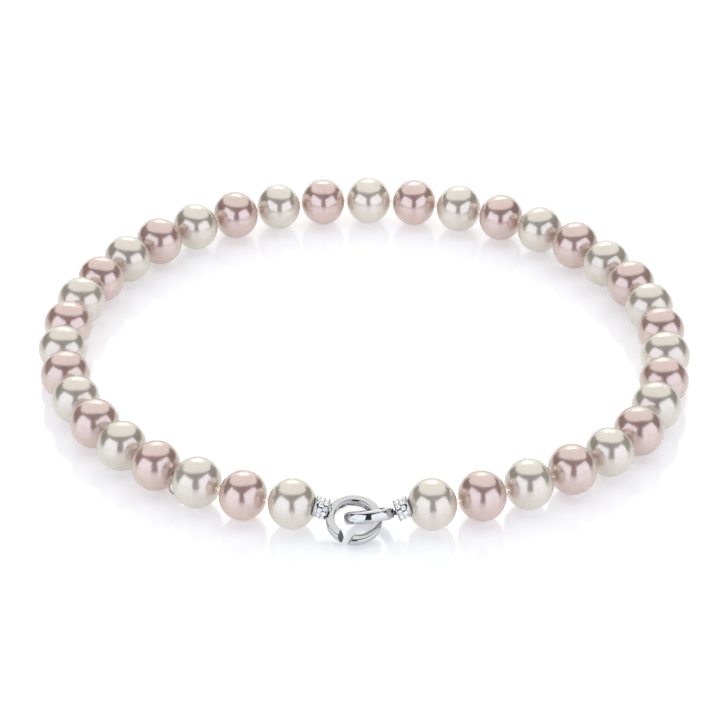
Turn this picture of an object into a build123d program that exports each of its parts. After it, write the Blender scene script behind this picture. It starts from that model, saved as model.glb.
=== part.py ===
from build123d import *
import math
import os

# Knotted pearl necklace, closed, lying on its side on a flat surface.
# Millimetres, +Z up, centred on its own bounding box, lowest point on z = 0.

# ---- strand
pearl_count = 37
pearl_diameter = 11.4
pearl_length_share = 0.945
size_variation = 0.012
knot_gap = 0.735
tag_gap = 1.05
drill_radius = 0.42
dimple_radius = 0.72
silk_radius = 0.24
knot_radius = 0.54
bend_radius = 0.34
inside_knot = 0.15
thread_height = 5.90

# ---- the loop that the thread follows
loop_centre = (0.0, 0.90)
loop_radius = 70.7
first_knot_angle = -98.2
bulge_size = 2.9
bulge_angle = -393.0
bulge_width = 18.0

# ---- strand sections: first and last pearl of each, the back one first
sections = {
    "back": (18, 20),
    "left_1": (15, 17),
    "left_2": (12, 14),
    "left_3": (9, 11),
    "left_4": (6, 8),
    "left_5": (3, 5),
    "left_6": (1, 2),
    "right_1": (21, 23),
    "right_2": (24, 26),
    "right_3": (27, 29),
    "right_4": (30, 32),
    "right_5": (33, 35),
    "right_6": (36, 37),
}

# ---- barrels set with small stones
barrel_radius = 2.28
barrel_back = -0.85
barrel_front = 2.40
rim_radius = 2.44
rim_width = 0.32
stone_diameter = 1.12
stones_per_row = 11
stone_rows = (0.54, 1.58)
end_knot_radius = 0.42
end_knot_at = 0.45

# ---- slotted ring, on the left barrel
slot_ring_centre = (-2.15, -71.05, 3.74)
slot_ring_tilt = 23.0
slot_ring_pitch = 3.0
slot_ring_radius = 6.25
slot_ring_wall = 2.00
slot_ring_height = 2.40
slot_width = 1.30
slot_top_width = 3.30
slot_angle = 251.0
rivet_at = (-5.60, 1.90)
rivet_radius = 0.40
tongue_width = 1.40
tongue_thickness = 0.70

# ---- link ring, on the right barrel
link_centre = (1.05, -69.85, 4.09)
link_tilt = -30.0
link_pitch = -8.0
link_radius = 5.75
link_wall = 1.80
link_height = 2.60
neck_radius = 0.60
link_pin_at = 6.65
link_pin_radius = 0.22
link_pin_length = 3.40
lug_width = 1.10
lug_radius = 0.50

# ---- tag ring on the silk between the third and fourth pearl
tag_ring_radius = 3.50
tag_wire_radius = 0.23
tag_hang = 2.42
tag_outward = 38.0
tag_cut = 0.12


def length_of(number):
    """How long a pearl is along the thread."""
    return diameter_of(number) * pearl_length_share


def diameter_of(number):
    """A pearl's diameter across the thread: each is a little different."""
    wobble = math.sin(2.4 * number + 0.7) + 0.5 * math.sin(5.1 * number)
    return pearl_diameter * (1 + size_variation * wobble)


def gap_before(number):
    """The room for the knot in front of a pearl."""
    return tag_gap if number == 4 else knot_gap


def loop_point(angle):
    """A point of the thread's loop, seen from above, by its angle in degrees."""
    bulge = bulge_size * math.exp(-(((angle - bulge_angle) / bulge_width) ** 2))
    reach = loop_radius + bulge
    x = loop_centre[0] + reach * math.cos(math.radians(angle))
    y = loop_centre[1] + reach * math.sin(math.radians(angle))
    return Vector(x, y, thread_height)


def next_angle(angle, chord):
    """Walk along the loop until the straight distance is one pearl and its gap."""
    step = math.degrees(chord / loop_radius)
    for _ in range(6):
        reached = (loop_point(angle - step) - loop_point(angle)).length
        step = step * chord / reached
    return angle - step


def walk():
    """The knots' places along the loop, the first in front of pearl 1."""
    angle = first_knot_angle
    knots = [loop_point(angle)]
    for number in range(1, pearl_count + 1):
        gap = (gap_before(number) + gap_before(number + 1)) / 2
        angle = next_angle(angle, length_of(number) + gap)
        knots.append(loop_point(angle))
    return knots


knots = walk()


def frame_between(start, end):
    """A frame halfway between two points, its x axis from one to the other."""
    return Plane(origin=(start + end) / 2, x_dir=end - start, z_dir=(0, 0, 1))


def rod(start, end, radius):
    """A round rod from one point to another."""
    along = Plane(origin=start, z_dir=end - start)
    bottom = (Align.CENTER, Align.CENTER, Align.MIN)
    return along * Cylinder(radius, (end - start).length, align=bottom)


def ball(centre, radius):
    """A ball whose seam faces away from the middle of the loop, clear of the thread."""
    outward = Vector(centre.X, centre.Y, 0)
    return Plane(origin=centre, x_dir=outward, z_dir=(0, 0, 1)) * Sphere(radius)


def pearl(number):
    """One pearl: a slightly flattened, slightly lopsided ball with its drill hole."""
    half = length_of(number) / 2
    radius = diameter_of(number) / 2
    lean = 0.014 * math.sin(1.7 * number)
    outline = []
    for step in range(9):
        turn = math.pi * step / 8
        across = radius * math.sin(turn) * (1 + lean * math.cos(turn))
        outline.append((-half * math.cos(turn), across))
    side = Spline(*outline, tangents=((0, 1), (0, -1)))
    body = revolve(make_face([side, Line((half, 0), (-half, 0))]), Axis.X, 360)
    body -= Rot(0, 90, 0) * Cylinder(drill_radius, 3 * half)
    body -= Pos(-half - gap_before(number) / 2, 0, 0) * Sphere(dimple_radius)
    body -= Pos(half + gap_before(number + 1) / 2, 0, 0) * Sphere(dimple_radius)
    return frame_between(knots[number - 1], knots[number]) * body


# ---- barrel frames: origin at the end of the strand, x axis towards the clasp
left_barrel_frame = Plane(origin=knots[0], x_dir=(0.95, -0.13, -0.27), z_dir=(0.27, 0, 0.95))
right_barrel_frame = Plane(
    origin=knots[pearl_count], x_dir=(-0.93, -0.15, -0.33), z_dir=(-0.33, 0, 0.93)
)


def end_knot(frame):
    """Where the silk's last knot sits inside a barrel."""
    return frame.from_local_coords(Vector(end_knot_at, 0, 0))


def silk_rod(start, end, before, after):
    """A straight length of silk, held back from the points at its two ends."""
    along = (end - start).normalized()
    return rod(start + along * before, end - along * after, silk_radius)


def silk(name):
    """A section's length of silk with its knots; the section nearer the back owns a shared knot."""
    first, last = sections[name]
    points = [knots[k] for k in range(first - 1, last + 1)]
    balls = [(point, knot_radius) for point in points]
    before = after = inside_knot
    if name.startswith("left"):
        balls.pop()
        after = knot_radius + 0.15
    if name.startswith("right"):
        balls.pop(0)
        before = knot_radius + 0.15
    if first == 1:
        points.insert(0, end_knot(left_barrel_frame))
        balls[0] = (points[1], bend_radius)
        balls.append((points[0], end_knot_radius))
    if last == pearl_count:
        points.append(end_knot(right_barrel_frame))
        balls[-1] = (points[-2], bend_radius)
        balls.append((points[-1], end_knot_radius))
    lengths = []
    for number in range(len(points) - 1):
        hold_start = before if number == 0 else inside_knot
        hold_end = after if number == len(points) - 2 else inside_knot
        lengths.append(silk_rod(points[number], points[number + 1], hold_start, hold_end))
    body = ball(*balls[0])
    for place, radius in balls[1:]:
        body += ball(place, radius)
    for length in lengths:
        body += length
    return body


# ---- stones
def stone(diameter, clearance=0.0):
    """A round brilliant standing on its girdle, or the seat that it drops into."""
    edge = diameter / 2 + clearance
    profile = Polyline(
        (0, -0.43 * diameter - clearance),
        (edge, -0.02 * diameter),
        (edge, 0.02 * diameter),
        (0.30 * diameter + clearance, 0.15 * diameter + 4 * clearance),
        (0, 0.15 * diameter + 4 * clearance),
        close=True,
    )
    return revolve(Plane.XZ * make_face(profile), Axis.Z, 360)


def stone_places(radius):
    """Frames round a barrel, one per stone, z axis outwards; rows are staggered."""
    places = []
    for row, along in enumerate(stone_rows):
        for number in range(stones_per_row):
            turn = 2 * math.pi * (number + 0.5 * row) / stones_per_row
            out = (0, math.cos(turn), math.sin(turn))
            origin = (along, radius * out[1], radius * out[2])
            places.append(Plane(origin=origin, x_dir=(1, 0, 0), z_dir=out))
    return places


def stones():
    """All of one barrel's stones, standing a little proud of it."""
    jewel = stone(stone_diameter)
    return [place * jewel for place in stone_places(barrel_radius - 0.06)]


def barrel(neighbour):
    """A barrel's plain body: cupped over its pearl, hollow for the silk's last knot."""
    forward = (Align.CENTER, Align.CENTER, Align.MIN)
    along = Rot(0, 90, 0)
    length = barrel_front - barrel_back
    body = Pos(barrel_back, 0, 0) * along * Cylinder(barrel_radius, length, align=forward)
    rim = along * Cylinder(rim_radius, rim_width, align=forward)
    body += Pos(barrel_back, 0, 0) * rim
    body += Pos(barrel_front - rim_width, 0, 0) * rim
    body -= Pos(-0.2, 0, 0) * along * Cylinder(0.75, 1.20, align=forward)
    seat = stone(stone_diameter, 0.03)
    body -= [place * seat for place in stone_places(barrel_radius - 0.06)]
    return body


def pearl_seat(number):
    """The hollow that a barrel's back makes over its pearl."""
    centre = (knots[number - 1] + knots[number]) / 2
    return ball(centre, diameter_of(number) / 2 - 0.07)


# ---- the two rings' frames
slot_frame = Plane(
    Location(slot_ring_centre) * Rot(0, slot_ring_pitch, 0) * Rot(slot_ring_tilt, 0, 0)
)
link_frame = Plane(Location(link_centre) * Rot(0, link_pitch, 0) * Rot(link_tilt, 0, 0))


def hoop(radius, wall, height, round_radius):
    """A closed band with rounded edges, by its outer radius."""
    section = Plane.XZ * Pos(radius - wall / 2, 0) * RectangleRounded(wall, height, round_radius)
    return revolve(section, Axis.Z, 360)


def slot_cutter():
    """The slot's wedge, narrow at the band's lower edge and wide at its upper edge."""
    half = slot_ring_height / 2
    slope = (slot_top_width - slot_width) / 2 / slot_ring_height
    low, high = -half - 0.6, half + 0.6
    narrow = slot_width / 2 - 0.6 * slope
    wide = slot_top_width / 2 + 0.6 * slope
    outline = Polyline((-narrow, low), (narrow, low), (wide, high), (-wide, high), close=True)
    start = slot_ring_radius - slot_ring_wall - 1
    wedge = extrude(make_face(Plane.YZ * outline), slot_ring_wall + 2)
    return Pos(start, 0, 0) * wedge


def slotted_ring():
    """The ring with the slot that lets the link ring's neck in and out."""
    place = Pos(rivet_at[0], rivet_at[1], 0)
    body = hoop(slot_ring_radius, slot_ring_wall, slot_ring_height, 0.70)
    body += place * Cylinder(0.95, slot_ring_height - 0.12)
    body -= place * Cylinder(1.02, tongue_thickness + 0.20)
    body -= place * Pos(-1.0, 0, 0) * Box(2.0, 2.04, tongue_thickness + 0.20)
    body -= place * Cylinder(rivet_radius + 0.01, 4)
    body -= Rot(0, 0, slot_angle) * slot_cutter()
    return slot_frame * body


def ring_rivet():
    """The rivet that the slotted ring swings on, with a domed head and a flat tail."""
    forward = (Align.CENTER, Align.CENTER, Align.MIN)
    top = slot_ring_height / 2
    body = Pos(0, 0, -top - 0.20) * Cylinder(rivet_radius, 2 * top + 0.40, align=forward)
    dome = Pos(0, 0, top - 0.33) * Sphere(0.85)
    above = Pos(0, 0, top + 0.03) * Cylinder(1.2, 2, align=forward)
    body += dome & above
    body += Pos(0, 0, -top - 0.25) * Cylinder(0.62, 0.22, align=forward)
    return slot_frame * Pos(rivet_at[0], rivet_at[1], 0) * body


def left_barrel():
    """The left barrel with the tongue that the slotted ring is riveted to."""
    place = slot_frame * Pos(rivet_at[0], rivet_at[1], 0)
    body = left_barrel_frame * barrel(1) - pearl_seat(1)
    body -= slot_frame * Cylinder(slot_ring_radius + 0.32, slot_ring_height + 0.7)
    body -= place * Cylinder(1.30, slot_ring_height + 0.7)
    body -= place * Pos(0, 0, 1.4) * Cylinder(1.10, 1.6)
    body += place * Pos(-1.1, 0, 0) * Box(2.2, tongue_width, tongue_thickness)
    body += place * Cylinder(tongue_width / 2, tongue_thickness)
    body -= place * Cylinder(rivet_radius + 0.05, 2)
    return body


def link_ring():
    """The closed ring, thinned to a neck at its free end, with its hinge lug."""
    body = hoop(link_radius, link_wall, link_height, 0.70)
    body -= Pos(-link_radius, 0, 0) * Box(4.4, 3.0, 4)
    circle = Plane.XZ * Pos(link_radius - link_wall / 2, 0) * Circle(neck_radius)
    body += Rot(0, 0, 153) * revolve(circle, Axis.Z, 54)
    lug_inner = link_radius - 0.6
    lug_length = link_pin_at - lug_inner
    lug_middle = (link_pin_at + lug_inner) / 2
    body += Pos(lug_middle, 0, 0) * Box(lug_length, lug_width, 2 * lug_radius)
    body += Pos(link_pin_at, 0, 0) * Rot(90, 0, 0) * Cylinder(lug_radius, lug_width)
    body -= Pos(link_pin_at, 0, 0) * Rot(90, 0, 0) * Cylinder(link_pin_radius + 0.04, 4)
    return link_frame * body


def link_pin():
    """The cross pin through the right barrel's fork."""
    place = link_frame * Pos(link_pin_at, 0, 0) * Rot(90, 0, 0)
    return place * Cylinder(link_pin_radius, link_pin_length)


def right_barrel():
    """The right barrel, forked for the link ring's lug."""
    body = right_barrel_frame * barrel(pearl_count) - pearl_seat(pearl_count)
    body -= link_frame * Cylinder(link_radius + 0.32, link_height + 1.2)
    body -= link_frame * Pos(link_pin_at - 0.3, 0, 0) * Box(1.9, lug_width + 0.3, 2.6)
    pin_hole = Rot(90, 0, 0) * Cylinder(link_pin_radius + 0.01, link_pin_length + 0.04)
    body -= link_frame * Pos(link_pin_at, 0, 0) * pin_hole
    return body


def tag_ring():
    """A plain jump ring looped round the silk, its ends butted together."""
    along = (knots[4] - knots[2]).normalized()
    outward = Vector(along.Y, -along.X, 0)
    lean = math.radians(tag_outward)
    down = outward * math.sin(lean) - Vector(0, 0, 1) * math.cos(lean)
    centre = knots[3] + down * tag_hang
    body = Torus(tag_ring_radius, tag_wire_radius)
    body -= Rot(0, 0, -65) * Pos(tag_ring_radius, 0, 0) * Box(1, tag_cut, 1)
    return Plane(origin=centre, x_dir=down, z_dir=along) * body


nodes = {}
for number in range(1, pearl_count + 1):
    colour = "white" if number % 2 else "pink"
    nodes[f"{colour}_pearl_{number:02d}"] = pearl(number)
for name in sections:
    nodes[f"silk_{name}"] = silk(name)
nodes["left_barrel"] = left_barrel()
nodes["left_barrel_stones"] = Compound([left_barrel_frame * jewel for jewel in stones()])
nodes["slotted_ring"] = slotted_ring()
nodes["slotted_ring_rivet"] = ring_rivet()
nodes["right_barrel"] = right_barrel()
nodes["right_barrel_stones"] = Compound([right_barrel_frame * jewel for jewel in stones()])
nodes["link_ring"] = link_ring()
nodes["link_ring_pin"] = link_pin()
nodes["tag_ring"] = tag_ring()

os.makedirs("parts", exist_ok=True)
for name, shape in nodes.items():
    export_step(shape, f"parts/{name}.step")
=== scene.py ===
import math
import random

import bmesh
import bpy
from mathutils import Matrix, Vector, noise


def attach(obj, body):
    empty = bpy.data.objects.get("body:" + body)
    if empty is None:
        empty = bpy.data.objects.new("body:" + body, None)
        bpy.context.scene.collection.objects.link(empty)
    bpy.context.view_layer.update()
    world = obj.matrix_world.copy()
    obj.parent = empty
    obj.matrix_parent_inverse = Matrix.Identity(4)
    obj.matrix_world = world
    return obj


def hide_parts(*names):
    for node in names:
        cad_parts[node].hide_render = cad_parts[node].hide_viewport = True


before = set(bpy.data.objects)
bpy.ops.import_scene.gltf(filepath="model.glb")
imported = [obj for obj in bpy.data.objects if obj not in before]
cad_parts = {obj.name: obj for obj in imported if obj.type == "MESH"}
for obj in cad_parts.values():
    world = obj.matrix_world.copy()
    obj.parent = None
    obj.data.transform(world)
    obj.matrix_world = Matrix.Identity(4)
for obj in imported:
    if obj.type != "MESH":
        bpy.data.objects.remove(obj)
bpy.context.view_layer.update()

MM = 0.001

# ---------------------------------------------------------------- sizes, in mm
# The strand, barrels and rings are as in the CAD; plies, knots, grains and milgrain are finer detail.
PEARLS = 37
DIAMETER = 11.4
LENGTH_SHARE = 0.945
VARIATION = 0.012
KNOT_GAP = 0.735
TAG_GAP = 1.05
THREAD_Z = 5.90
PLY_RADIUS = 0.125
PLY_APART = 0.105
PLY_LAY = 1.1
KNOT_SIZE = 1.12
END_KNOT_SIZE = 0.72
END_KNOT_IN = 0.45
LOOP_Y = 0.90
LOOP_RADIUS = 70.7
FIRST_ANGLE = -98.2
BULGE = (2.9, -393.0, 18.0)

SECTIONS = {
    "back": (18, 20),
    "left_1": (15, 17),
    "left_2": (12, 14),
    "left_3": (9, 11),
    "left_4": (6, 8),
    "left_5": (3, 5),
    "left_6": (1, 2),
    "right_1": (21, 23),
    "right_2": (24, 26),
    "right_3": (27, 29),
    "right_4": (30, 32),
    "right_5": (33, 35),
    "right_6": (36, 37),
}

BARREL_RADIUS = 2.28
RIM_RADIUS = 2.44
BARREL_BACK = -0.85
BARREL_FRONT = 2.40
STONE = 1.12
STONES_PER_ROW = 11
STONE_ROWS = (0.54, 1.58)
STONE_SINK = 0.06
CULET = 0.43
GRAIN_OUT = 0.44
GRAIN_RADIUS = 0.15
MILGRAINS = 40
MILGRAIN_IN = 0.19
MILGRAIN_RADIUS = 0.12

SLOT_RADIUS = 6.25
SLOT_WALL = 2.00
SLOT_HEIGHT = 2.40
SLOT_WIDTH = 1.30
SLOT_TOP_WIDTH = 3.30
SLOT_ANGLE = 251.0
SLOT_SLOPE = (SLOT_TOP_WIDTH - SLOT_WIDTH) / 2 / SLOT_HEIGHT
SLOT_SWING = 6.5
RIVET_AT = (-5.60, 1.90)
BOSS_RADIUS = 0.93
BOSS_HALF = 1.02
TONGUE_HALF = 0.35
TONGUE_RADIUS = 0.70
TONGUE_HOLE = 0.45
GATE_HALF = 0.45
GATE_RADIUS = 1.02
RING_ROOM = 0.32
SLOT_ROOM_HALF = 1.45
BOSS_ROOM = 1.30
HEAD_ROOM = 1.10

LINK_RADIUS = 5.75
LINK_WALL = 1.80
LINK_HEIGHT = 2.60
NECK = 0.60
PIN_AT = 6.65
PIN_RADIUS = 0.22
PIN_HALF = 1.70
LUG_HALF = 0.55
EYE_RADIUS = 0.50
FORK_HALF = 0.70
LINK_ROOM_HALF = 1.6

TAG_RADIUS = 3.50
TAG_WIRE = 0.23
TAG_HANG = 2.42
TAG_OUTWARD = 38.0
TAG_START = -63.6
TAG_THROUGH = 357.2


# ---------------------------------------------------------------- the strand's layout
def diameter_of(number):
    wobble = math.sin(2.4 * number + 0.7) + 0.5 * math.sin(5.1 * number)
    return DIAMETER * (1 + VARIATION * wobble)


def length_of(number):
    return diameter_of(number) * LENGTH_SHARE


def gap_before(number):
    return TAG_GAP if number == 4 else KNOT_GAP


def loop_point(angle):
    """A point of the silk's loop: a circle with a bulge at the right front."""
    size, at, width = BULGE
    reach = LOOP_RADIUS + size * math.exp(-(((angle - at) / width) ** 2))
    turn = math.radians(angle)
    return Vector((reach * math.cos(turn), LOOP_Y + reach * math.sin(turn), THREAD_Z))


def walk():
    """The points halfway between pearls, knot by knot, from the left barrel round to the right one."""
    angle = FIRST_ANGLE
    found = [loop_point(angle)]
    for number in range(1, PEARLS + 1):
        chord = length_of(number) + (gap_before(number) + gap_before(number + 1)) / 2
        step = math.degrees(chord / LOOP_RADIUS)
        for _ in range(6):
            step *= chord / (loop_point(angle - step) - loop_point(angle)).length
        angle -= step
        found.append(loop_point(angle))
    return found


knots = walk()


def axes(origin, x_dir, z_dir):
    """A frame as a matrix in metres from its origin and two directions."""
    x = Vector(x_dir).normalized()
    z = Vector(z_dir)
    z = (z - x * z.dot(x)).normalized()
    y = z.cross(x)
    turn = Matrix((x, y, z)).transposed().to_4x4()
    return Matrix.Translation(Vector(origin) * MM) @ turn


def ring_frame(centre, pitch, tilt):
    turn = Matrix.Rotation(math.radians(pitch), 4, "Y") @ Matrix.Rotation(math.radians(tilt), 4, "X")
    return Matrix.Translation(Vector(centre) * MM) @ turn


left_frame = axes(knots[0], (0.95, -0.13, -0.27), (0.27, 0, 0.95))
right_frame = axes(knots[PEARLS], (-0.93, -0.15, -0.33), (-0.33, 0, 0.93))
slot_frame = ring_frame((-2.15, -71.05, 3.74), 3.0, 23.0)
link_frame = ring_frame((1.05, -69.85, 4.09), -8.0, -30.0)


# ---------------------------------------------------------------- mesh helpers (local millimetres)
BOX_FACES = [(0, 3, 2, 1), (4, 5, 6, 7), (0, 1, 5, 4), (1, 2, 6, 5), (2, 3, 7, 6), (3, 0, 4, 7)]


def new_object(name, verts, faces, place, material, smooth=True, sharp=40):
    mesh = bpy.data.meshes.new(name)
    mesh.from_pydata([tuple(Vector(v) * MM) for v in verts], [], faces)
    mesh.validate()
    bm = bmesh.new()
    bm.from_mesh(mesh)
    bmesh.ops.remove_doubles(bm, verts=bm.verts, dist=1e-7)
    bmesh.ops.recalc_face_normals(bm, faces=bm.faces)
    bm.to_mesh(mesh)
    bm.free()
    if smooth:
        mesh.shade_smooth()
        mesh.set_sharp_from_angle(angle=math.radians(sharp))
    obj = bpy.data.objects.new(name, mesh)
    obj.matrix_world = place
    obj.data.materials.append(material)
    bpy.context.scene.collection.objects.link(obj)
    return obj


def grid(rings, closed_along=False, caps=False):
    """Vertices and faces of a skin over rings of points, with a flat cap at each end if asked."""
    count = len(rings[0])
    verts = [p for ring in rings for p in ring]
    faces = []
    rows = len(rings) if closed_along else len(rings) - 1
    for i in range(rows):
        a, b = i * count, ((i + 1) % len(rings)) * count
        for j in range(count):
            k = (j + 1) % count
            faces.append((a + j, a + k, b + k, b + j))
    if caps:
        faces.append(tuple(range(count))[::-1])
        faces.append(tuple(range((len(rings) - 1) * count, len(rings) * count)))
    return verts, faces


def merge(parts):
    """Several (verts, faces) as one."""
    verts, faces = [], []
    for more, shapes in parts:
        start = len(verts)
        verts += list(more)
        faces += [tuple(i + start for i in f) for f in shapes]
    return verts, faces


def moved(part, matrix):
    """A part with its points turned and shifted by a matrix."""
    verts, faces = part
    return [matrix @ Vector(v) for v in verts], faces


def at_rivet(part):
    """A part made on the slotted ring's axis, shifted to the rivet."""
    verts, faces = part
    return [(x + RIVET_AT[0], y + RIVET_AT[1], z) for x, y, z in verts], faces


def at_pin(part):
    """A part made on the link ring's axis, laid along the cross pin."""
    verts, faces = part
    return [(x + PIN_AT, z, y) for x, y, z in verts], faces


def lathe(profile, segments=96, axis="X"):
    """A closed solid from a profile of (along, radius) points turned about an axis."""
    rings = []
    for along, radius in profile:
        ring = []
        for i in range(segments):
            turn = 2 * math.pi * i / segments
            c, s = radius * math.cos(turn), radius * math.sin(turn)
            ring.append((along, c, s) if axis == "X" else (c, s, along))
        rings.append(ring)
    return grid(rings, caps=True)


def tube(points, radius, sides=10, closed=False):
    """A round tube along points, with its own steady frame."""
    pts = [Vector(p) for p in points]
    rings = []
    side = None
    for i, p in enumerate(pts):
        ahead = pts[(i + 1) % len(pts)] if closed or i + 1 < len(pts) else p
        behind = pts[i - 1] if closed or i > 0 else p
        along = (ahead - behind).normalized()
        if side is None:
            side = along.orthogonal().normalized()
        side = (side - along * side.dot(along)).normalized()
        other = along.cross(side)
        ring = []
        for j in range(sides):
            turn = 2 * math.pi * j / sides
            ring.append(p + side * radius * math.cos(turn) + other * radius * math.sin(turn))
        rings.append(ring)
    if closed:
        return grid(rings, closed_along=True)
    return grid(rings, caps=True)


def small_ball(centre, radius, rows=5, columns=8):
    """A bead as a closed lathe shape."""
    rings = []
    for i in range(1, rows):
        t = math.pi * i / rows
        z, r = -math.cos(t) * radius, math.sin(t) * radius
        rings.append(
            [
                (
                    centre[0] + r * math.cos(2 * math.pi * j / columns),
                    centre[1] + r * math.sin(2 * math.pi * j / columns),
                    centre[2] + z,
                )
                for j in range(columns)
            ]
        )
    verts, faces = grid(rings)
    low, high = len(verts), len(verts) + 1
    verts += [
        (centre[0], centre[1], centre[2] - radius),
        (centre[0], centre[1], centre[2] + radius),
    ]
    last = (rows - 2) * columns
    for j in range(columns):
        k = (j + 1) % columns
        faces.append((low, k, j))
        faces.append((high, last + j, last + k))
    return verts, faces


def smooth_up_to(obj, degrees):
    """Shades a piece smooth, but keeps every edge sharper than the angle."""
    obj.data.shade_smooth()
    obj.data.set_sharp_from_angle(angle=math.radians(degrees))


def apply_modifiers(obj):
    bpy.context.view_layer.update()
    shape = bpy.data.meshes.new_from_object(obj.evaluated_get(bpy.context.evaluated_depsgraph_get()))
    obj.modifiers.clear()
    old = obj.data
    obj.data = shape
    bpy.data.meshes.remove(old)


def boolean(obj, other, operation):
    """Applies a boolean and drops the object it was made with."""
    step = obj.modifiers.new("cut", "BOOLEAN")
    step.operation = operation
    step.solver = "EXACT"
    step.object = other
    apply_modifiers(obj)
    bpy.data.objects.remove(other)


def tool(part, place):
    """A plain solid to cut another with, or to join to it."""
    return new_object("tool", *part, place, white_metal, smooth=False)


def cut(obj, part, place):
    boolean(obj, tool(part, place), "DIFFERENCE")


def join(obj, part, place):
    boolean(obj, tool(part, place), "UNION")


def drop_loose(obj):
    """Deletes the hair-thin slivers and the bare edges that several booleans can leave."""
    bm = bmesh.new()
    bm.from_mesh(obj.data)
    bmesh.ops.remove_doubles(bm, verts=bm.verts, dist=0.003 * MM)
    bare = [edge for edge in bm.edges if not edge.link_faces]
    bmesh.ops.delete(bm, geom=bare, context="EDGES")
    bm.to_mesh(obj.data)
    bm.free()


def soften(obj, width):
    """Rounds a hard piece's edges, then smooths its faces."""
    step = obj.modifiers.new("soft", "BEVEL")
    step.width = width * MM
    step.segments = 2
    step.limit_method = "ANGLE"
    step.angle_limit = math.radians(35)
    step.harden_normals = False
    apply_modifiers(obj)
    smooth_up_to(obj, 50)


def block(low, high):
    """A box from its lowest and highest corners."""
    (a, b, c), (d, e, f) = low, high
    verts = [(a, b, c), (d, b, c), (d, e, c), (a, e, c), (a, b, f), (d, b, f), (d, e, f), (a, e, f)]
    return verts, BOX_FACES


def finish_piece(obj, body, slot, *nodes):
    """Puts a piece on its body, and lets it replace the CAD nodes it stands for; its material slot is not
    used.
    """
    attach(obj, body)
    if nodes:
        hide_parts(*nodes)


# ---------------------------------------------------------------- materials
def material(name):
    """A new material with its nodes, links and main shader."""
    made = bpy.data.materials.new(name)
    made.use_nodes = True
    nodes, links = made.node_tree.nodes, made.node_tree.links
    shader = nodes.get("Principled BSDF") or nodes.new("ShaderNodeBsdfPrincipled")
    return made, nodes, links, shader


def noise_node(nodes, links, coords, scale, detail=3.0, roughness=0.5, distortion=0.0):
    n = nodes.new("ShaderNodeTexNoise")
    n.inputs["Scale"].default_value = scale
    n.inputs["Detail"].default_value = detail
    n.inputs["Roughness"].default_value = roughness
    n.inputs["Distortion"].default_value = distortion
    links.new(coords, n.inputs["Vector"])
    return n


def ramp(nodes, links, source, stops):
    r = nodes.new("ShaderNodeValToRGB")
    points = r.color_ramp.elements
    while len(points) > 1:
        points.remove(points[-1])
    points[0].position, points[0].color = stops[0][0], (*stops[0][1], 1)
    for at, colour in stops[1:]:
        e = points.new(at)
        e.color = (*colour, 1)
    links.new(source, r.inputs["Fac"])
    return r


def bump(nodes, links, height, strength, distance):
    b = nodes.new("ShaderNodeBump")
    b.inputs["Strength"].default_value = strength
    b.inputs["Distance"].default_value = distance * MM
    links.new(height, b.inputs["Height"])
    return b


def to_range(nodes, links, source, low, high):
    m = nodes.new("ShaderNodeMapRange")
    m.inputs["To Min"].default_value = low
    m.inputs["To Max"].default_value = high
    links.new(source, m.inputs["Value"])
    return m


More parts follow.
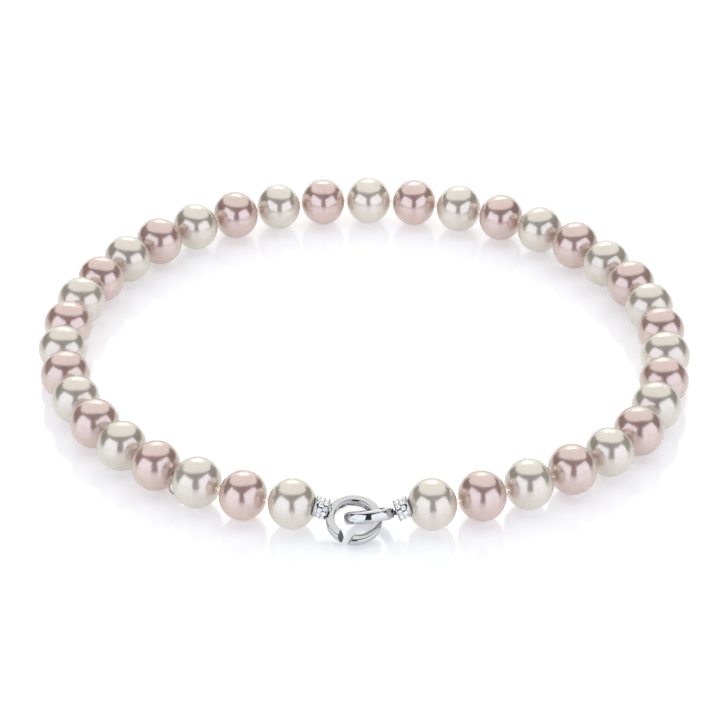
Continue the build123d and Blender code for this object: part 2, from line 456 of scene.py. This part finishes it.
def nacre(name, deep, body, light, sheen_colour):
    """Nacre: a cloudy, slightly translucent body under a soft mirror-like skin."""
    made, nodes, links, shader = material(name)
    coord = nodes.new("ShaderNodeTexCoord")
    info = nodes.new("ShaderNodeObjectInfo")
    shift = nodes.new("ShaderNodeVectorMath")
    shift.operation = "ADD"
    links.new(coord.outputs["Object"], shift.inputs[0])
    spread = nodes.new("ShaderNodeVectorMath")
    spread.operation = "SCALE"
    spread.inputs[0].default_value = (0.31, 0.17, 0.23)
    links.new(info.outputs["Random"], spread.inputs["Scale"])
    links.new(spread.outputs[0], shift.inputs[1])
    where = shift.outputs[0]
    # growth bands round the drill hole, broken up by cloud
    stretch = nodes.new("ShaderNodeMapping")
    stretch.inputs["Scale"].default_value = (1.0, 0.28, 0.28)
    links.new(where, stretch.inputs["Vector"])
    cloud = noise_node(nodes, links, stretch.outputs[0], 260, 4.0, 0.55, 0.6)
    tone = ramp(nodes, links, cloud.outputs["Fac"], [(0.30, deep), (0.52, body), (0.72, light)])
    tint = nodes.new("ShaderNodeHueSaturation")
    wide = to_range(nodes, links, info.outputs["Random"], 0.95, 1.03)
    links.new(wide.outputs[0], tint.inputs["Value"])
    links.new(tone.outputs["Color"], tint.inputs["Color"])
    links.new(tint.outputs["Color"], shader.inputs["Base Color"])
    fine = noise_node(nodes, links, where, 1500, 3.0, 0.6)
    pits = nodes.new("ShaderNodeTexVoronoi")
    pits.inputs["Scale"].default_value = 420
    links.new(where, pits.inputs["Vector"])
    dents = ramp(nodes, links, pits.outputs["Distance"], [(0.0, (0.25, 0.25, 0.25)), (0.16, (1, 1, 1))])
    first = bump(nodes, links, fine.outputs["Fac"], 0.16, 0.010)
    second = bump(nodes, links, dents.outputs["Color"], 0.20, 0.012)
    links.new(first.outputs[0], second.inputs["Normal"])
    links.new(second.outputs[0], shader.inputs["Normal"])
    rough = to_range(nodes, links, cloud.outputs["Fac"], 0.30, 0.42)
    links.new(rough.outputs[0], shader.inputs["Roughness"])
    shader.inputs["IOR"].default_value = 1.62
    shader.inputs["Subsurface Weight"].default_value = 0.30
    shader.inputs["Subsurface Radius"].default_value = (1.0, 0.72, 0.6)
    shader.inputs["Subsurface Scale"].default_value = 1.4 * MM
    shader.inputs["Coat Weight"].default_value = 0.25
    shader.inputs["Coat Roughness"].default_value = 0.13
    shader.inputs["Coat IOR"].default_value = 1.55
    shader.inputs["Thin Film Thickness"].default_value = 290.0
    shader.inputs["Thin Film IOR"].default_value = 1.35
    skin = nodes.new("ShaderNodeBsdfAnisotropic")
    skin.inputs["Color"].default_value = (*sheen_colour, 1)
    skin.inputs["Roughness"].default_value = 0.20
    links.new(second.outputs[0], skin.inputs["Normal"])
    both = nodes.new("ShaderNodeMixShader")
    both.inputs["Fac"].default_value = 0.41
    links.new(shader.outputs[0], both.inputs[1])
    links.new(skin.outputs[0], both.inputs[2])
    out = nodes.get("Material Output")
    links.new(both.outputs[0], out.inputs["Surface"])
    return made


def bright_metal(name, colour, rough_low, rough_high, scratch=0.03):
    """Polished metal with the faint haze and hairlines that wear leaves."""
    made, nodes, links, shader = material(name)
    coord = nodes.new("ShaderNodeTexCoord")
    haze = noise_node(nodes, links, coord.outputs["Object"], 900, 4.0, 0.6)
    tone = ramp(
        nodes,
        links,
        haze.outputs["Fac"],
        [(0.35, tuple(0.93 * c for c in colour)), (0.65, colour)],
    )
    links.new(tone.outputs["Color"], shader.inputs["Base Color"])
    rough = to_range(nodes, links, haze.outputs["Fac"], rough_low, rough_high)
    links.new(rough.outputs[0], shader.inputs["Roughness"])
    hair = nodes.new("ShaderNodeMapping")
    hair.inputs["Scale"].default_value = (1.0, 1.0, 9.0)
    links.new(coord.outputs["Object"], hair.inputs["Vector"])
    lines = noise_node(nodes, links, hair.outputs[0], 2600, 5.0, 0.7)
    marks = bump(nodes, links, lines.outputs["Fac"], scratch, 0.006)
    links.new(marks.outputs[0], shader.inputs["Normal"])
    shader.inputs["Metallic"].default_value = 1.0
    return made


def clear_stone(name):
    """A cut stone: hard facets, with the small mosaic that its pavilion shows through the table."""
    made, nodes, links, shader = material(name)
    coord = nodes.new("ShaderNodeTexCoord")
    mosaic = nodes.new("ShaderNodeTexVoronoi")
    mosaic.distance = "CHEBYCHEV"
    mosaic.inputs["Scale"].default_value = 3100
    links.new(coord.outputs["Object"], mosaic.inputs["Vector"])
    cloud = noise_node(nodes, links, coord.outputs["Object"], 1200, 2.0)
    tone = ramp(nodes, links, cloud.outputs["Fac"], [(0.3, (0.90, 0.92, 0.96)), (0.7, (1, 1, 1))])
    links.new(tone.outputs["Color"], shader.inputs["Base Color"])
    rough = to_range(nodes, links, cloud.outputs["Fac"], 0.0, 0.04)
    links.new(rough.outputs[0], shader.inputs["Roughness"])
    tilt = bump(nodes, links, mosaic.outputs["Distance"], 1.0, 0.16)
    links.new(tilt.outputs[0], shader.inputs["Normal"])
    shader.inputs["Metallic"].default_value = 0.8
    shader.inputs["IOR"].default_value = 2.3
    shader.inputs["Coat Weight"].default_value = 1.0
    shader.inputs["Coat Roughness"].default_value = 0.01
    shader.inputs["Coat IOR"].default_value = 2.2
    return made


def silk_thread(name):
    """Silk: fibrous and soft, with a faint glow that is painted light for the light reaching it through
    and between the pearls.
    """
    made, nodes, links, shader = material(name)
    coord = nodes.new("ShaderNodeTexCoord")
    fibre = noise_node(nodes, links, coord.outputs["Object"], 5200, 4.0, 0.65)
    tone = ramp(
        nodes,
        links,
        fibre.outputs["Fac"],
        [(0.3, (0.80, 0.68, 0.63)), (0.5, (0.92, 0.84, 0.80)), (0.75, (0.97, 0.93, 0.90))],
    )
    links.new(tone.outputs["Color"], shader.inputs["Base Color"])
    lines = bump(nodes, links, fibre.outputs["Fac"], 0.35, 0.015)
    links.new(lines.outputs[0], shader.inputs["Normal"])
    shader.inputs["Roughness"].default_value = 0.45
    shader.inputs["Sheen Weight"].default_value = 0.6
    shader.inputs["Sheen Roughness"].default_value = 0.4
    shader.inputs["Subsurface Weight"].default_value = 0.8
    shader.inputs["Subsurface Radius"].default_value = (1.0, 0.85, 0.8)
    shader.inputs["Subsurface Scale"].default_value = 0.5 * MM
    # painted light: the silk glows faintly, brightening the knots where they sit in shade between the
    # pearls
    shader.inputs["Emission Color"].default_value = (1.0, 0.88, 0.83, 1)
    shader.inputs["Emission Strength"].default_value = 0.32
    return made


white_nacre = nacre(
    "white_nacre", (0.57, 0.52, 0.44), (0.61, 0.56, 0.48), (0.66, 0.61, 0.535), (1.0, 0.985, 0.955)
)
pink_nacre = nacre(
    "pink_nacre", (0.49, 0.305, 0.27), (0.54, 0.345, 0.31), (0.60, 0.42, 0.385), (1.0, 0.94, 0.925)
)
white_metal = bright_metal("white_metal", (0.64, 0.64, 0.655), 0.04, 0.09)
# painted shade: near-black metal for the slot's sawn faces, darkening the slot where shade falls
sawn_painted_shade_metal = bright_metal("sawn_painted_shade_metal", (0.16, 0.16, 0.165), 0.22, 0.34)
wire_metal = bright_metal("wire_metal", (0.50, 0.40, 0.36), 0.10, 0.18)
stone_clear = clear_stone("stone_clear")
silk_cord = silk_thread("silk_cord")


# ---------------------------------------------------------------- pearls
def pearl_skin(number):
    """How far a pearl's surface stands out from its turned shape, as a function of the direction."""
    rng = random.Random(100 + number)
    seed = Vector((number * 3.7, number * 1.3, number * 0.7))
    dents = []
    for _ in range(rng.randint(3, 6)):
        spot = Vector((rng.uniform(-1, 1), rng.uniform(-1, 1), rng.uniform(-1, 1))).normalized()
        dents.append((spot, rng.uniform(0.05, 0.13), rng.uniform(0.010, 0.035)))

    def swell(d):
        out = 0.055 * noise.noise(d * 1.3 + seed)
        out += 0.016 * noise.noise(d * 3.4 + seed * 2)
        # growth rings, stronger towards the drill hole
        near_end = max(0.0, abs(d.x) - 0.72) / 0.28
        out += 0.018 * near_end * math.sin(34 * abs(d.x) + 3 * noise.noise(d * 2 + seed))
        for spot, wide, deep in dents:
            away = (d - spot).length / wide
            if away < 2.5:
                out -= deep * math.exp(-away * away)
        return out

    return swell


def pearl_mesh(number):
    """One pearl on its drill axis (x): off-round, with dents, growth rings and a worn drill hole."""
    half, radius = length_of(number) / 2, diameter_of(number) / 2
    lean = 0.014 * math.sin(1.7 * number)
    swell = pearl_skin(number)
    around, along = 96, 66
    mouth, bore = 0.62, 0.42
    lip = ((0.55, 0.0), (0.24, 0.02), (0.10, 0.10))

    def circle(x, r):
        turns = [2 * math.pi * j / around for j in range(around)]
        return [Vector((x, r * math.cos(turn), r * math.sin(turn))) for turn in turns]

    rings = [circle(inset - half, bore + flare) for inset, flare in lip]
    start = math.asin(mouth / radius)
    for i in range(along + 1):
        t = start + (math.pi - 2 * start) * i / along
        plain = circle(-half * math.cos(t), radius * math.sin(t) * (1 + lean * math.cos(t)))
        rings.append([p + p.normalized() * swell(p.normalized()) for p in plain])
    rings += [circle(half - inset, bore + flare) for inset, flare in reversed(lip)]
    return grid(rings, closed_along=True)


for part, (first, last) in SECTIONS.items():
    for number in range(first, last + 1):
        colour = "white" if number % 2 else "pink"
        node = f"{colour}_pearl_{number:02d}"
        middle = (knots[number - 1] + knots[number]) / 2
        place = axes(middle, knots[number] - knots[number - 1], (0, 0, 1))
        spin = Matrix.Rotation(random.Random(number).uniform(0, 2 * math.pi), 4, "X")
        skin = white_nacre if colour == "white" else pink_nacre
        verts, faces = pearl_mesh(number)
        pearl = new_object(f"nacre_{node}", verts, faces, place @ spin, skin, sharp=70)
        finish_piece(pearl, f"strand_{part}", f"{colour}_pearl", node)


# ---------------------------------------------------------------- silk
def plies(start, end):
    """Two plies twisted together from one point to another."""
    along = end - start
    way = along.normalized()
    side = Vector((0, 0, 1)) if abs(way.z) < 0.9 else Vector((1, 0, 0))
    side = (side - way * side.dot(way)).normalized()
    other = way.cross(side)
    steps = max(8, int(along.length * 9))
    made = []
    for ply in (0, math.pi):
        points = []
        for i in range(steps + 1):
            turn = ply + 2 * math.pi * (i / steps) * along.length / PLY_LAY
            out = side * math.cos(turn) + other * math.sin(turn)
            points.append(start + along * (i / steps) + out * PLY_APART)
        made.append(tube(points, PLY_RADIUS, 7))
    return merge(made)


def overhand(centre, along, size, turn):
    """A tied knot: a doubled cord wound through itself, drawn up tight."""
    along = along.normalized()
    side = Vector((0, 0, 1))
    other = along.cross(side)
    steps, spread, depth, thickness = 66, 0.118, 0.125, 0.135
    cords = []
    for offset in (-0.055, 0.055):
        points = []
        for i in range(steps):
            t = 2 * math.pi * i / steps
            a = math.sin(t) + 2 * math.sin(2 * t)
            b = math.cos(t) - 2 * math.cos(2 * t)
            c = -math.sin(3 * t)
            grow = 1 + 2.2 * offset
            u = (a * math.cos(turn) - b * math.sin(turn)) * grow
            v = (a * math.sin(turn) + b * math.cos(turn)) * grow
            across = (side * u + other * v) * spread * size
            points.append(centre + across + along * c * depth * size)
        cords.append(tube(points, thickness * size, 8, closed=True))
    return merge(cords)


for part, (first, last) in SECTIONS.items():
    shapes = []
    points = [knots[k] for k in range(first - 1, last + 1)]
    owned = list(range(first - 1, last + 1))
    # the knot shared with the section nearer the back is tied in that one
    if part.startswith("left"):
        owned.pop()
    if part.startswith("right"):
        owned.pop(0)
    if first == 1:
        owned.remove(0)
        inside = left_frame @ (Vector((END_KNOT_IN, 0, 0)) * MM) / MM
        points.insert(0, inside)
        shapes.append(overhand(inside, points[1] - inside, END_KNOT_SIZE, 0.4))
    if last == PEARLS:
        owned.remove(PEARLS)
        inside = right_frame @ (Vector((END_KNOT_IN, 0, 0)) * MM) / MM
        points.append(inside)
        shapes.append(overhand(inside, inside - points[-2], END_KNOT_SIZE, 0.9))
    for start, end in zip(points, points[1:]):
        shapes.append(plies(start, end))
    for k in owned:
        before, after = knots[max(0, k - 1)], knots[min(PEARLS, k + 1)]
        shapes.append(overhand(knots[k], after - before, KNOT_SIZE, 1.9 * k))
    verts, faces = merge(shapes)
    cord = new_object(f"thread_{part}", verts, faces, Matrix.Identity(4), silk_cord, sharp=80)
    finish_piece(cord, f"strand_{part}", "silk", f"silk_{part}")


# ---------------------------------------------------------------- barrels and their stones
def stone_places():
    """Frames round a barrel in its own millimetres, z outwards."""
    places = []
    for row, along in enumerate(STONE_ROWS):
        for n in range(STONES_PER_ROW):
            turn = 2 * math.pi * (n + 0.5 * row) / STONES_PER_ROW
            out = Vector((0, math.cos(turn), math.sin(turn)))
            side = out.cross(Vector((1, 0, 0)))
            spot = Vector((along, 0, 0)) + out * (BARREL_RADIUS - STONE_SINK)
            matrix = Matrix((Vector((1, 0, 0)), side, out)).transposed().to_4x4()
            places.append(Matrix.Translation(spot) @ matrix)
    return places


def brilliant(d):
    """A round brilliant of one width with its table, crown, girdle and pavilion facets."""
    table, waist, girdle = 0.29, 0.24, 0.02
    table_up, waist_down = 0.155, 0.235
    verts = []
    for n in range(8):
        a = math.pi * (2 * n + 1) / 8
        verts.append((table * d * math.cos(a), table * d * math.sin(a), table_up * d))
    for z in (girdle, -girdle):
        for n in range(16):
            a = math.pi * n / 8
            verts.append((0.5 * d * math.cos(a), 0.5 * d * math.sin(a), z * d))
    for n in range(8):
        a = math.pi * n / 4
        verts.append((waist * d * math.cos(a), waist * d * math.sin(a), -waist_down * d))
    verts.append((0, 0, -CULET * d))
    faces = [tuple(range(8))]
    for n in range(8):
        a, b = 8 + 2 * n, 8 + (2 * n + 1) % 16
        c = 8 + (2 * n + 2) % 16
        faces += [(n, a, b), (n, b, c), (n, c, (n + 1) % 8)]
    for n in range(16):
        m = (n + 1) % 16
        faces.append((8 + n, 24 + n, 24 + m, 8 + m))
    for n in range(8):
        m = (n + 1) % 8
        a, b, c = 24 + 2 * n, 24 + 2 * n + 1, 24 + (2 * n + 2) % 16
        faces += [(a, 40 + n, b), (b, 40 + n, 40 + m), (b, 40 + m, c)]
        faces.append((40 + n, 48, 40 + m))
    return verts, faces


def barrel_shell(name, number, place):
    """A barrel turned from solid, with two raised rims, then hollowed for the pearl, the end knot
    and the stones."""
    r, rim = BARREL_RADIUS, RIM_RADIUS
    outline = [
        (BARREL_BACK, 1.2),
        (BARREL_BACK, rim - 0.22),
        (BARREL_BACK + 0.05, rim - 0.08),
        (BARREL_BACK + 0.14, rim),
        (BARREL_BACK + 0.26, rim - 0.03),
        (BARREL_BACK + 0.32, r - 0.02),
        (BARREL_BACK + 0.40, r - 0.06),
        (-0.20, r),
        (BARREL_FRONT - 0.42, r),
        (BARREL_FRONT - 0.36, r - 0.06),
        (BARREL_FRONT - 0.31, r - 0.02),
        (BARREL_FRONT - 0.26, rim - 0.03),
        (BARREL_FRONT - 0.15, rim),
        (BARREL_FRONT - 0.06, rim - 0.08),
        (BARREL_FRONT, rim - 0.24),
        (BARREL_FRONT, 0.4),
    ]
    shell = new_object(name, *lathe(outline, 112), place, white_metal)
    cut(shell, cup(number), Matrix.Identity(4))
    cut(shell, knot_room(), place)
    cut(shell, seats(), place)
    return shell


def cup(number):
    """The hollow over a pearl, as a ball in the world's millimetres."""
    centre = (knots[number - 1] + knots[number]) / 2
    return small_ball(centre, diameter_of(number) / 2 - 0.07, 48, 96)


def grain(keeps=None):
    """Beads: four grains raised round every stone and a milgrain edge on each rim."""
    beads = []
    for place in stone_places():
        for dx in (-GRAIN_OUT, GRAIN_OUT):
            for dy in (-GRAIN_OUT, GRAIN_OUT):
                beads.append((place @ Vector((dx, dy, 0.0)), GRAIN_RADIUS))
    radius = RIM_RADIUS - 0.03
    for along in (BARREL_BACK + MILGRAIN_IN, BARREL_FRONT - MILGRAIN_IN):
        for n in range(MILGRAINS):
            turn = 2 * math.pi * n / MILGRAINS
            spot = Vector((along, radius * math.cos(turn), radius * math.sin(turn)))
            beads.append((spot, MILGRAIN_RADIUS, 4, 7))
    return merge([small_ball(*bead) for bead in beads if keeps is None or keeps(bead[0])])


def clear_of_slotted_ring(spot):
    """Whether a bead on the left barrel stays clear of the slotted ring through its whole swing."""
    # SLOT_SWING is the joint's 6 degrees and half a degree to spare
    bead_room, boss_room, half_height = 0.45, 1.4, 1.75
    local = slot_frame.inverted() @ (left_frame @ (spot * MM)) / MM
    lever = math.hypot(local.x - RIVET_AT[0], local.y - RIVET_AT[1])
    reach = SLOT_RADIUS + bead_room + lever * math.sin(math.radians(SLOT_SWING))
    outside = math.hypot(local.x, local.y) > reach and lever >= boss_room
    return abs(local.z) > half_height or outside


def gems(name, place):
    """All the stones of a barrel as one piece, each turned a little differently."""
    rng = random.Random(7)
    stone = brilliant(STONE - 0.03)
    shapes = []
    for spot in stone_places():
        spin = Matrix.Rotation(rng.uniform(0, math.pi / 4), 4, "Z")
        shapes.append(moved(stone, spot @ spin))
    verts, faces = merge(shapes)
    return new_object(name, verts, faces, place, stone_clear, smooth=False)


def seats():
    """Cones that the stones sit in, as cutters."""
    d = STONE
    shapes = []
    for spot in stone_places():
        outline = [(-CULET * d - 0.05, 0.03), (-0.03 * d, d / 2 - 0.02), (0.6 * d, d / 2 + 0.05)]
        shapes.append(moved(lathe(outline, 16, "Z"), spot))
    return merge(shapes)


def disc(radius, low, high, segments=96):
    """A flat cylinder on the z axis."""
    return lathe([(low, radius), (high, radius)], segments, "Z")


def knot_room():
    """The hollow in a barrel that hides the silk's end knot."""
    return lathe([(-0.9, 0.75), (1.0, 0.75)], 32)


# left barrel, with the tongue that the rivet goes through
left_shell = barrel_shell("left_barrel_shell", 1, left_frame)
cut(left_shell, disc(SLOT_RADIUS + RING_ROOM, -SLOT_ROOM_HALF, SLOT_ROOM_HALF), slot_frame)
cut(left_shell, at_rivet(disc(BOSS_ROOM, -SLOT_ROOM_HALF, SLOT_ROOM_HALF)), slot_frame)
cut(left_shell, at_rivet(disc(HEAD_ROOM, 0.6, 2.2)), slot_frame)
drop_loose(left_shell)
smooth_up_to(left_shell, 32)
finish_piece(left_shell, "strand_left_6", "polished_white_metal", "left_barrel")

tongue = new_object(
    "left_barrel_tongue",
    *block(
        (RIVET_AT[0] - 2.2, RIVET_AT[1] - TONGUE_RADIUS, -TONGUE_HALF),
        (RIVET_AT[0], RIVET_AT[1] + TONGUE_RADIUS, TONGUE_HALF),
    ),
    slot_frame,
    white_metal,
    smooth=False,
)
join(tongue, at_rivet(disc(TONGUE_RADIUS, -TONGUE_HALF, TONGUE_HALF, 48)), slot_frame)
cut(tongue, at_rivet(disc(TONGUE_HOLE, -1, 1, 32)), slot_frame)
soften(tongue, 0.06)
finish_piece(tongue, "strand_left_6", "polished_white_metal")

grains = grain(clear_of_slotted_ring)
left_grain = new_object("left_barrel_grain", *grains, left_frame, white_metal, sharp=80)
finish_piece(left_grain, "strand_left_6", "polished_white_metal")
left_gems = gems("left_barrel_brilliants", left_frame)
finish_piece(left_gems, "strand_left_6", "clear_stones", "left_barrel_stones")

# right barrel, forked for the link ring's lug
right_shell = barrel_shell("right_barrel_shell", PEARLS, right_frame)
cut(right_shell, disc(LINK_RADIUS + RING_ROOM, -LINK_ROOM_HALF, LINK_ROOM_HALF), link_frame)
fork = block((PIN_AT - 1.25, -FORK_HALF, -1.3), (PIN_AT + 0.65, FORK_HALF, 1.3))
cut(right_shell, fork, link_frame)
smooth_up_to(right_shell, 32)
finish_piece(right_shell, "strand_right_6", "polished_white_metal", "right_barrel")
right_grain = new_object("right_barrel_grain", *grain(), right_frame, white_metal, sharp=80)
finish_piece(right_grain, "strand_right_6", "polished_white_metal")
right_gems = gems("right_barrel_brilliants", right_frame)
finish_piece(right_gems, "strand_right_6", "clear_stones", "right_barrel_stones")


# ---------------------------------------------------------------- the two rings
def band_point(radius, wall, height, turn, at, powers, dome=0.0):
    """A point of a band's section at one angle round the ring: each quarter of the section
    has its own squareness, outer top first, and its top can be domed."""
    c, s = math.cos(turn), math.sin(turn)
    quarter = (0 if c >= 0 else 1) if s >= 0 else (2 if c < 0 else 3)
    power = powers[quarter]
    a = math.copysign(abs(c) ** (2 / power), c) * wall / 2
    b = math.copysign(abs(s) ** (2 / power), s) * height / 2
    if s > 0:
        b -= dome * (2 * a / wall) ** 2 * min(1.0, 2 * b / height + 0.2)
    reach = radius - wall / 2 + a
    return (reach * math.cos(at), reach * math.sin(at), b)


def round_point(radius, wall, thick, turn, at):
    """A point of a round section in the middle of a band, at one angle round the ring."""
    reach = radius - wall / 2 + thick * math.cos(turn)
    return (reach * math.cos(at), reach * math.sin(at), thick * math.sin(turn))


def slotted_band():
    rings = []
    steps, around = 240, 96
    powers, dome = (6.5, 7.0, 4.5, 2.6), 0.20
    for i in range(steps):
        at = 2 * math.pi * i / steps
        ring = []
        for j in range(around):
            turn = 2 * math.pi * j / around
            ring.append(band_point(SLOT_RADIUS, SLOT_WALL, SLOT_HEIGHT, turn, at, powers, dome))
        rings.append(ring)
    return grid(rings, closed_along=True)


def slot_wedge():
    """The slot's cutter: narrow at the band's lower edge and wide at its upper edge."""
    past = 0.6
    narrow = SLOT_WIDTH / 2 - past * SLOT_SLOPE
    wide = SLOT_TOP_WIDTH / 2 + past * SLOT_SLOPE
    low, high = -SLOT_HEIGHT / 2 - past, SLOT_HEIGHT / 2 + past
    outline = [(-narrow, low), (narrow, low), (wide, high), (-wide, high)]
    start = SLOT_RADIUS - SLOT_WALL - 1
    turn = Matrix.Rotation(math.radians(SLOT_ANGLE), 3, "Z")
    verts = [turn @ Vector((x, y, z)) for x in (start, start + SLOT_WALL + 2) for y, z in outline]
    return verts, BOX_FACES


band = new_object("slotted_ring_band", *slotted_band(), slot_frame, white_metal, sharp=50)
cut(band, slot_wedge(), slot_frame)
# the sawn faces of the slot get a satin finish with a near-black colour, painted shade for the dark
# inside the slot
band.data.materials.append(sawn_painted_shade_metal)
middle = Matrix.Rotation(math.radians(-SLOT_ANGLE), 3, "Z")
for face in band.data.polygons:
    spot = middle @ (face.center / MM)
    edge = SLOT_WIDTH / 2 + (spot.z + SLOT_HEIGHT / 2) * SLOT_SLOPE
    if spot.x > 0 and abs(abs(spot.y) - edge) < 0.004:
        face.material_index = 1
# the boss that the rivet goes through, and the gate in it for the left barrel's tongue
boss = [(-BOSS_HALF, 0.80), (-0.94, BOSS_RADIUS), (0.94, BOSS_RADIUS), (BOSS_HALF, 0.80)]
join(band, at_rivet(lathe(boss, 64, "Z")), slot_frame)
cut(band, at_rivet(disc(GATE_RADIUS, -GATE_HALF, GATE_HALF, 64)), slot_frame)
gate = block(
    (RIVET_AT[0] - 2.0, RIVET_AT[1] - GATE_RADIUS, -GATE_HALF),
    (RIVET_AT[0], RIVET_AT[1] + GATE_RADIUS, GATE_HALF),
)
cut(band, gate, slot_frame)
smooth_up_to(band, 38)
finish_piece(band, "slotted_ring", "polished_white_metal", "slotted_ring")

# the rivet from below: its spread tail, its shaft and its domed head
top = SLOT_HEIGHT / 2
outline = [(-top - 0.24, 0.30), (-top - 0.23, 0.52), (-top - 0.16, 0.61), (-top - 0.04, 0.62)]
outline += [(-top - 0.03, 0.40), (top + 0.03, 0.40)]
head_ball, head_centre = 0.84, top - 0.33
for i in range(9):
    t = math.radians(62 - 60 * i / 8)
    outline.append((head_centre + head_ball * math.cos(t), max(0.02, head_ball * math.sin(t))))
rivet = new_object("rivet_domed", *at_rivet(lathe(outline, 64, "Z")), slot_frame, white_metal, sharp=50)
finish_piece(rivet, "slotted_ring", "polished_white_metal", "slotted_ring_rivet")


def link_band():
    """A closed band that narrows smoothly to a round neck at its free end."""
    rings = []
    steps, around = 240, 48
    neck_end, band_start = 17, 24
    for i in range(steps):
        degrees = 360 * i / steps
        away = abs(degrees - 180)
        at = math.radians(degrees)
        if away < neck_end:
            share = 0.0
        elif away > band_start:
            share = 1.0
        else:
            share = (away - neck_end) / (band_start - neck_end)
            share = share * share * (3 - 2 * share)
        ring = []
        for j in range(around):
            turn = 2 * math.pi * j / around
            thin = Vector(round_point(LINK_RADIUS, LINK_WALL, NECK - 0.02, turn, at))
            full = Vector(
                band_point(LINK_RADIUS, LINK_WALL, LINK_HEIGHT, turn, at, (2.5, 3.4, 3.0, 2.5))
            )
            ring.append(thin.lerp(full, share))
        rings.append(ring)
    return grid(rings, closed_along=True)


link = new_object("link_ring_band", *link_band(), link_frame, white_metal, sharp=50)
lug = block((LINK_RADIUS - 0.6, -LUG_HALF, -EYE_RADIUS), (PIN_AT, LUG_HALF, EYE_RADIUS))
lug = tool(lug, link_frame)
join(lug, at_pin(disc(EYE_RADIUS, -LUG_HALF, LUG_HALF, 48)), link_frame)
cut(lug, at_pin(disc(PIN_RADIUS + 0.04, -1, 1, 32)), link_frame)
boolean(link, lug, "UNION")
smooth_up_to(link, 38)
finish_piece(link, "link_ring", "polished_white_metal", "link_ring")

pin = [(-PIN_HALF, 0.14), (0.05 - PIN_HALF, 0.20), (0.12 - PIN_HALF, PIN_RADIUS)]
pin += [(PIN_HALF - 0.12, PIN_RADIUS), (PIN_HALF - 0.05, 0.20), (PIN_HALF, 0.14)]
pin = at_pin(lathe(pin, 32, "Z"))
cross_pin = new_object("link_cross_pin", *pin, link_frame, white_metal, sharp=50)
finish_piece(cross_pin, "strand_right_6", "polished_white_metal", "link_ring_pin")

# ---------------------------------------------------------------- tag ring
along = (knots[4] - knots[2]).normalized()
outward = Vector((along.y, -along.x, 0))
lean = math.radians(TAG_OUTWARD)
down = outward * math.sin(lean) - Vector((0, 0, 1)) * math.cos(lean)
tag_place = axes(knots[3] + down * TAG_HANG, down, along)
wire = []
steps = 120
for i in range(steps + 1):
    t = math.radians(TAG_START + TAG_THROUGH * i / steps)
    drift = 0.05 * (i / steps - 0.5)
    wire.append((TAG_RADIUS * math.cos(t), TAG_RADIUS * math.sin(t), drift))
jump = new_object("tag_ring_wire", *tube(wire, TAG_WIRE - 0.005, 16), tag_place, wire_metal, sharp=50)
finish_piece(jump, "tag_ring", "wire", "tag_ring")

# ---------------------------------------------------------------- floor, lights and camera
reach = 3000
floor_verts = [(-reach, -reach, 0), (reach, -reach, 0), (reach, reach, 0), (-reach, reach, 0)]
floor_mat, nodes, links, shader = material("white_table")
coord = nodes.new("ShaderNodeTexCoord")
grainy = noise_node(nodes, links, coord.outputs["Object"], 6, 2.0)
tone = ramp(nodes, links, grainy.outputs["Fac"], [(0.3, (0.87, 0.88, 0.91)), (0.7, (0.89, 0.90, 0.93))])
links.new(tone.outputs["Color"], shader.inputs["Base Color"])
shader.inputs["Roughness"].default_value = 0.14
shader.inputs["Emission Color"].default_value = (0.965, 0.975, 1.0, 1)
shader.inputs["Emission Strength"].default_value = 0.30
floor = new_object("table_top", floor_verts, [(0, 1, 2, 3)], Matrix.Identity(4), floor_mat)


def panel(name, location, target, size, brightness, colour=(1, 1, 1), shape="RECTANGLE"):
    """A soft panel of even brightness, whatever its size."""
    data = bpy.data.lights.new(name, "AREA")
    data.shape = shape
    data.size, data.size_y = size
    area = size[0] * size[1] * (math.pi / 4 if shape == "ELLIPSE" else 1)
    data.energy = brightness * math.pi * area
    data.color = colour
    lamp = bpy.data.objects.new(name, data)
    lamp.location = location
    lamp.rotation_euler = (Vector(target) - Vector(location)).to_track_quat("-Z", "Y").to_euler()
    bpy.context.scene.collection.objects.link(lamp)


panel("overhead", (0.0, 2.0, 1.2), (0, 2.0, 0), (3.9, 4.9), 1.04, (1.0, 0.995, 0.97), "ELLIPSE")
panel("overhead_core", (0.0, 1.7, 1.18), (0, 1.7, 0), (1.1, 0.8), 2.2, (1.0, 0.99, 0.96), "ELLIPSE")
for name, across in (("front_left", -0.69), ("front_right", 0.69)):
    panel(name, (across, -0.60, 0.46), (0, 0, 0.46), (1.30, 0.88), 1.46, (0.90, 0.935, 1.0))
panel("back", (0.0, 2.3, 0.45), (0, 0, 0.3), (3.2, 0.85), 0.9)

world = bpy.data.worlds.new("room")
world.use_nodes = True
world.node_tree.nodes["Background"].inputs["Color"].default_value = (0.055, 0.052, 0.05, 1)
world.node_tree.nodes["Background"].inputs["Strength"].default_value = 1.0
bpy.context.scene.world = world

aim = Vector((-0.82, -6.7, 5.9)) * MM
rise = math.radians(30.97)
away = 850 * MM
camera_data = bpy.data.cameras.new("camera")
camera_data.lens = 182.25
camera_data.sensor_width = 36.0
camera_data.clip_start = 0.05
camera_data.clip_end = 20
camera = bpy.data.objects.new("camera", camera_data)
camera.location = aim + Vector((0, -math.cos(rise), math.sin(rise))) * away
camera.rotation_euler = (aim - camera.location).to_track_quat("-Z", "Y").to_euler()
bpy.context.scene.collection.objects.link(camera)
bpy.context.scene.camera = camera
bpy.context.scene.view_settings.view_transform = "Standard"
